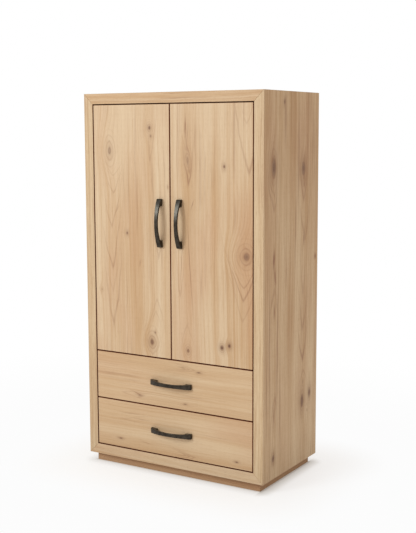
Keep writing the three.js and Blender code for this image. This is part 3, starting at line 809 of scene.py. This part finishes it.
def hinge_links():
    """The forks and hooks of the top and bottom hinges, alike to the middle ones."""
    for hand, _ in SIDES:
        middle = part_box(f"hinge_{hand}_middle_cup")
        for where in ("top", "bottom"):
            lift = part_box(f"hinge_{hand}_{where}_cup")[0].z - middle[0].z
            for link in ("fork", "hook"):
                source = NODES[f"hinge_{hand}_middle_{link}"]
                bm = bmesh.new()
                bm.from_mesh(source.data)
                bmesh.ops.remove_doubles(bm, verts=bm.verts, dist=1e-5)
                bmesh.ops.translate(bm, verts=bm.verts, vec=(0, 0, lift))
                piece = add(f"hinge_{hand}_{where}_{link}", bm, ZINC, f"hinge_{link}_{hand}")
                crisp(piece, 32)


def hinge_screws():
    """The screws of each hinge's cup and base plate, and the two that adjust its arm."""
    for hand, side in SIDES:
        cups, plates, adjusters = [], [], []
        inward = (-side, 0, 0)
        for where in ("top", "middle", "bottom"):
            low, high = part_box(f"hinge_{hand}_{where}_cup")
            middle = (low + high) / 2
            for step in (-CUP_SCREW_STEP, CUP_SCREW_STEP):
                cups.append(((middle.x, high.y, middle.z + step), (0, 1, 0)))
            low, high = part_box(f"hinge_{hand}_{where}_arm")
            edge, front, centre = outward(low, high, side), low.y, (low.z + high.z) / 2
            for step in (-PLATE_SCREW_STEP, PLATE_SCREW_STEP):
                plates.append(((edge - side * PLATE_THICKNESS, front + PLATE_SETBACK, centre + step), inward))
            for setback in ADJUSTER_SETBACKS:
                adjusters.append(((edge - side * ARM_TOP, front + setback, centre), inward))
        screws(f"hinge_cup_screws_{hand}", cups, 3.6 * MM, f"door_{hand}")
        screws(f"hinge_plate_screws_{hand}", plates, 3.8 * MM, "case")
        screws(f"hinge_adjusters_{hand}", adjusters, 3.4 * MM, "case", NICKEL)


# ---- Rod, pulls and back ----

SOCKET_FLANGE = 4 * MM
SOCKET_SCREW_CIRCLE = 21 * MM  # radius
PULL_FOOT = 17.5 * MM  # from the end of a pull to its screw
BOX_SCREW_SPREAD = 0.72  # share of the box front's half width
BACK_SCREW_INSET = 7 * MM


def rod_screws():
    """Three screws in each socket of the hanging rod."""
    for hand, side in SIDES:
        low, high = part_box(f"rod_socket_{hand}")
        centre = (low + high) / 2
        face = outward(low, high, side) - side * SOCKET_FLANGE
        places = []
        for turn in (90, 210, 330):
            y = centre.y + SOCKET_SCREW_CIRCLE * math.cos(math.radians(turn))
            z = centre.z + SOCKET_SCREW_CIRCLE * math.sin(math.radians(turn))
            places.append(((face, y, z), (-side, 0, 0)))
        screws(f"rod_socket_screws_{hand}", places, 3.2 * MM, "case")


def handle_screws():
    """The screws behind the pulls, and those that hold each drawer front to its box."""
    for hand, _ in SIDES:
        low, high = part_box(f"door_handle_{hand}")
        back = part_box(f"door_{hand}")[1].y
        x = (low.x + high.x) / 2
        places = [((x, back, z), (0, 1, 0)) for z in (low.z + PULL_FOOT, high.z - PULL_FOOT)]
        screws(f"door_handle_screws_{hand}", places, 4.4 * MM, f"door_{hand}")
    for drawer in DRAWERS:
        low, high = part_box(f"{drawer}_handle")
        inner_low, inner_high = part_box(f"{drawer}_box_front")
        z = (low.z + high.z) / 2
        places = [((x, inner_high.y, z), (0, 1, 0)) for x in (low.x + PULL_FOOT, high.x - PULL_FOOT)]
        screws(f"{drawer}_handle_screws", places, 4.4 * MM, drawer)
        places = [
            ((x, inner_high.y, z), (0, 1, 0))
            for x in (BOX_SCREW_SPREAD * inner_low.x, BOX_SCREW_SPREAD * inner_high.x)
            for z in (inner_low.z + 45 * MM, inner_high.z - 35 * MM)
        ]
        screws(f"{drawer}_front_screws", places, 4.0 * MM, drawer)


def back_screws():
    """A row of screws round the back panel and one across it at the deck."""
    low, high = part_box("back_panel")

    def spaced(start, end, count):
        step = (end - start - 2 * BACK_SCREW_INSET) / (count - 1)
        return [start + BACK_SCREW_INSET + i * step for i in range(count)]

    columns, rows = spaced(low.x, high.x, 6), spaced(low.z, high.z, 10)
    spots = [(x, z) for x in columns for z in (rows[0], rows[-1])]
    spots += [(x, z) for x in (columns[0], columns[-1]) for z in rows[1:-1]]
    shelf_low, shelf_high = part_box("deck")
    spots += [(x, (shelf_low.z + shelf_high.z) / 2) for x in columns[1:-1]]
    screws("back_panel_screws", [((x, high.y, z), (0, 1, 0)) for x, z in spots], 3.6 * MM, "case")


# ---- Drawer slides ----

SLIDE_WEB = 1.3 * MM  # sheet thickness
CASE_SCREW_SETBACKS = (35 * MM, 245 * MM, 440 * MM)  # from the slide's front end
BOX_SCREW_SETBACKS = (60 * MM, 270 * MM, 460 * MM)
RACES = (("outer", 19.1 * MM), ("inner", 13.6 * MM))  # from the slide's middle up or down to the balls
RACE_DEPTH = 6 * MM  # from the case to the balls' centres
CAGE_FRONT, CAGE_BACK = 60 * MM, 236 * MM
CAGE_HALF_WIDTH, CAGE_HALF_THICKNESS = 2.4 * MM, 0.35 * MM
FIRST_BALL, BALL_PITCH, BALLS = 68 * MM, 17.6 * MM, 10
BALL_RADIUS = 1.7 * MM


def ball_cage(across, front, centre, race):
    """Two strips of cage, above and below a slide's middle, each with its row of balls."""
    bm = bmesh.new()
    for level in (centre - race, centre + race):
        bottom, top = level - CAGE_HALF_THICKNESS, level + CAGE_HALF_THICKNESS
        left, right = across - CAGE_HALF_WIDTH, across + CAGE_HALF_WIDTH
        outline = [(bottom, left), (bottom, right), (top, right), (top, left)]
        prism(bm, outline, front + CAGE_FRONT, front + CAGE_BACK, Y)
        for ball in range(BALLS):
            spot = Matrix.Translation((across, front + FIRST_BALL + ball * BALL_PITCH, level))
            bmesh.ops.create_uvsphere(bm, u_segments=12, v_segments=8, radius=BALL_RADIUS, matrix=spot)
    return bm


def slide_parts():
    """Ball cages, balls and screws of the four drawer slides."""
    for drawer, middle_body in zip(DRAWERS, ("upper_slide_middle", "lower_slide_middle")):
        case_screws, drawer_screws = [], []
        for hand, side in SIDES:
            low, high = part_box(f"{drawer}_slide_{hand}_case")
            wall_x, front, centre = outward(low, high, side), low.y, (low.z + high.z) / 2
            for setback in CASE_SCREW_SETBACKS:
                case_screws.append(((wall_x - side * SLIDE_WEB, front + setback, centre), (-side, 0, 0)))
            inner_low, inner_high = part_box(f"{drawer}_slide_{hand}_drawer")
            web = outward(inner_low, inner_high, -side)
            for setback in BOX_SCREW_SETBACKS:
                drawer_screws.append(((web + side * SLIDE_WEB, front + setback, centre), (side, 0, 0)))
            for (cage, race), body in zip(RACES, ("case", middle_body)):
                bm = ball_cage(wall_x - side * RACE_DEPTH, front, centre, race)
                crisp(add(f"{drawer}_ball_cage_{cage}_{hand}", bm, SCREW_STEEL, body))
        screws(f"{drawer}_slide_case_screws", case_screws, 2.0 * MM, "case")
        screws(f"{drawer}_slide_box_screws", drawer_screws, 2.4 * MM, drawer)


# ---- Bumpers, door stop and plinth blocks ----

def bumpers():
    """Soft domes on the back of each door, where it lands on the case."""
    dome = [(0, 0), (3.0, 0), (3.0, 0.6), (2.4, 1.2), (1.3, 1.6), (0, 1.7)]
    profile = [(radius * MM, height * MM) for radius, height in dome]
    for hand, side in SIDES:
        low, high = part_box(f"door_{hand}")
        foot, head = low.z + 3.6 * MM, high.z - 6 * MM
        bm = bmesh.new()
        for x, z in ((60 * MM, foot), (400 * MM, foot), (12 * MM, head)):
            turned(bm, profile, facing((side * x, high.y, z), (0, 1, 0)), 16)
        crisp(add(f"door_bumpers_{hand}", bm, SILICONE, f"door_{hand}"))


def door_stop():
    """A small block under the case top that the doors close against."""
    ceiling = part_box("case_top")[0].z
    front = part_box("door_left")[1].y + 2 * MM
    depth, top, bottom = 18 * MM, ceiling - 0.2 * MM, ceiling - 14 * MM
    half_length, screw_from_middle = 38 * MM, 22 * MM
    outline = [(front, bottom), (front + depth, bottom), (front + depth, top), (front, top)]
    bm = bmesh.new()
    prism(bm, outline, -half_length, half_length, X)
    made = timber("door_stop_wood", "case_top", X, Y, 71.5)
    eased(add("door_stop", bm, made, "case"), 1.0 * MM)
    places = [((x, front + depth / 2, bottom), (0, 0, -1)) for x in (-screw_from_middle, screw_from_middle)]
    screws("door_stop_screws", places, 3.4 * MM, "case")


def plinth_blocks():
    """Glued corner blocks inside the plinth, each with a nylon glide underneath."""
    low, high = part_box("plinth_front")[0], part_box("plinth_back")[1]
    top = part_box("plinth_front")[1].z - 0.3 * MM
    leg, blunt, board_thickness, lift = 62 * MM, 6 * MM, 22.3 * MM, 5 * MM
    glide = [(0, 0), (11 * MM, 0), (11 * MM, 2.5 * MM), (9.5 * MM, 4.2 * MM), (0, 4.8 * MM)]
    wood = timber("corner_block_wood", "plinth_front", X, Z, 75.3, palette=BIRCH)
    blocks, glides = bmesh.new(), bmesh.new()
    for side_x in (-1, 1):
        for side_y in (-1, 1):
            x = (high.x if side_x > 0 else low.x) - side_x * board_thickness
            y = (high.y if side_y > 0 else low.y) - side_y * board_thickness
            corners = [(0, 0), (leg, 0), (leg, blunt), (blunt, leg), (0, leg)]
            prism(blocks, [(x - side_x * u, y - side_y * v) for u, v in corners], lift, top, Z)
            foot = (x - side_x * 20 * MM, y - side_y * 20 * MM, lift)
            turned(glides, glide, facing(foot, (0, 0, -1)), 24)
    eased(add("plinth_corner_blocks", blocks, wood, "case"), 1.2 * MM)
    crisp(add("floor_glides", glides, NYLON, "case"))


hinge_links()
hinge_screws()
rod_screws()
handle_screws()
back_screws()
slide_parts()
bumpers()
door_stop()
plinth_blocks()


# ---- Floor, light and camera ----

AMBIENT = 0.66  # what the white surroundings give off, as a share of what the camera sees
KEY_POWER = 162.0
FLOOR_GLOW = 0.66
FLOOR_ALBEDO = 0.36
FLOOR_BOUNCE = 0.3  # glow and albedo of the floor as the armoire sees it
WHITE = (1, 1, 1, 1)
WARM_WHITE = (1, 0.93, 0.84, 1)


def camera_only(tree):
    """1 for what the camera sees, 0 for light that bounces."""
    return Field(tree, tree.nodes.new("ShaderNodeLightPath").outputs["Is Camera Ray"])


def beyond(place, low, high):
    """How far a coordinate lies outside a stretch."""
    return ((place - (low + high) / 2).size() - (high - low) / 2).op("MAXIMUM", 0.0)


def floor():
    """A white floor: close to the armoire it shows rendered shade and a painted contact shadow, and it is
    plain white beyond.
    """
    bm = bmesh.new()
    bmesh.ops.create_grid(bm, x_segments=1, y_segments=1, size=30)
    mesh = bpy.data.meshes.new("floor")
    bm.to_mesh(mesh)
    bm.free()
    made, tree, shader, (x, y, _) = material("white_floor")
    seen = camera_only(tree)
    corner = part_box("plinth_right")[1]
    aside = beyond(x, -corner.x, corner.x)
    outside = beyond(y, -corner.y, corner.y)
    away = (aside * aside + outside * outside).power(0.5)

    # Painted shadow: the floor's glow darkens and warms in the last few centimetres, most on the side away
    # from the key light.
    ahead = beyond(y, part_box("plinth_front")[0].y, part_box("plinth_back")[1].y)
    gap = (aside * aside + ahead * ahead).power(0.5)
    lee = (x - corner.x).ramp(-0.002, 0.004)
    painted_contact_shadow = gap.ramp(0.018, 0.0) * 0.26 + gap.ramp(0.08, 0.0) * (lee * 0.24 + 0.2)
    feed(tree, mix(tree, seen, grey(FLOOR_BOUNCE), grey(FLOOR_ALBEDO)), shader.inputs["Base Color"])
    feed(tree, mix(tree, painted_contact_shadow * 1.6, WHITE, WARM_WHITE), shader.inputs["Emission Color"])
    bright = seen * (FLOOR_GLOW - FLOOR_BOUNCE) + FLOOR_BOUNCE
    feed(tree, bright * (painted_contact_shadow * -1.0 + 1.0), shader.inputs["Emission Strength"])
    shader.inputs["Roughness"].default_value = 0.6
    shader.inputs["Specular IOR Level"].default_value = 0.1

    glow = tree.nodes.new("ShaderNodeEmission")
    feed(tree, mix(tree, seen, (1.0, 0.93, 0.86, 1), WHITE), glow.inputs["Color"])
    feed(tree, seen * (away.ramp(0.6, 2.6) * 0.025 + 0.125) + 0.85, glow.inputs["Strength"])
    blend = tree.nodes.new("ShaderNodeMixShader")
    feed(tree, away.ramp(0.04, 0.45), blend.inputs[0])
    tree.links.new(shader.outputs[0], blend.inputs[1])
    tree.links.new(glow.outputs[0], blend.inputs[2])
    tree.links.new(blend.outputs[0], tree.nodes["Material Output"].inputs["Surface"])
    mesh.materials.append(made)
    sheet = bpy.data.objects.new("floor", mesh)
    bpy.context.scene.collection.objects.link(sheet)


def softbox(name, at, target, size, power, colour):
    """A round area light at a point, aimed at a target."""
    light = bpy.data.lights.new(name, "AREA")
    light.shape, light.size, light.energy, light.color = "DISK", size, power, colour
    lamp = bpy.data.objects.new(name, light)
    bpy.context.scene.collection.objects.link(lamp)
    lamp.location = at
    lamp.rotation_euler = (Vector(target) - Vector(at)).to_track_quat("-Z", "Y").to_euler()


def studio():
    """White surroundings that light evenly, and one big key light from the front left."""
    world = bpy.data.worlds.new("studio")
    bpy.context.scene.world = world
    world.use_nodes = True
    tree = world.node_tree
    back = tree.nodes["Background"]
    seen = camera_only(tree)
    feed(tree, seen * (1.0 - AMBIENT) + AMBIENT, back.inputs["Strength"])
    feed(tree, mix(tree, seen, (0.98, 0.91, 0.84, 1), WHITE), back.inputs["Color"])
    softbox("key", (-2.6, -5.2, 3.6), (0, 0, 0.9), size=2.2, power=KEY_POWER, colour=(0.88, 0.97, 1.0))
    settings = bpy.context.scene.view_settings
    settings.view_transform, settings.look = "Standard", "None"
    settings.exposure, settings.gamma = 0.0, 1.0


def camera():
    """Stands at the right front, a little below the top, looking slightly down."""
    aside, before_the_front, height = 2.6947, 4.0748, 1.6983
    yaw, pitch, roll = (math.radians(angle) for angle in (-31.483, -7.290, -0.214))
    data = bpy.data.cameras.new("camera")
    data.sensor_fit, data.sensor_width, data.lens = "AUTO", 36.0, 68.955
    data.shift_x, data.shift_y = 0.00428, -0.01028
    data.clip_end = 100.0
    ahead = Vector((math.sin(yaw) * math.cos(pitch), math.cos(yaw) * math.cos(pitch), math.sin(pitch)))
    right = Vector((math.cos(yaw), -math.sin(yaw), 0))
    up = right.cross(ahead)
    across = right * math.cos(roll) + up * math.sin(roll)
    upright = up * math.cos(roll) - right * math.sin(roll)
    turn = Matrix((across, upright, -ahead)).transposed().to_4x4()
    view = bpy.data.objects.new("camera", data)
    bpy.context.scene.collection.objects.link(view)
    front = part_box("case_side_right")[0].y
    view.matrix_world = Matrix.Translation((aside, front - before_the_front, height)) @ turn
    bpy.context.scene.camera = view


floor()
studio()
camera()
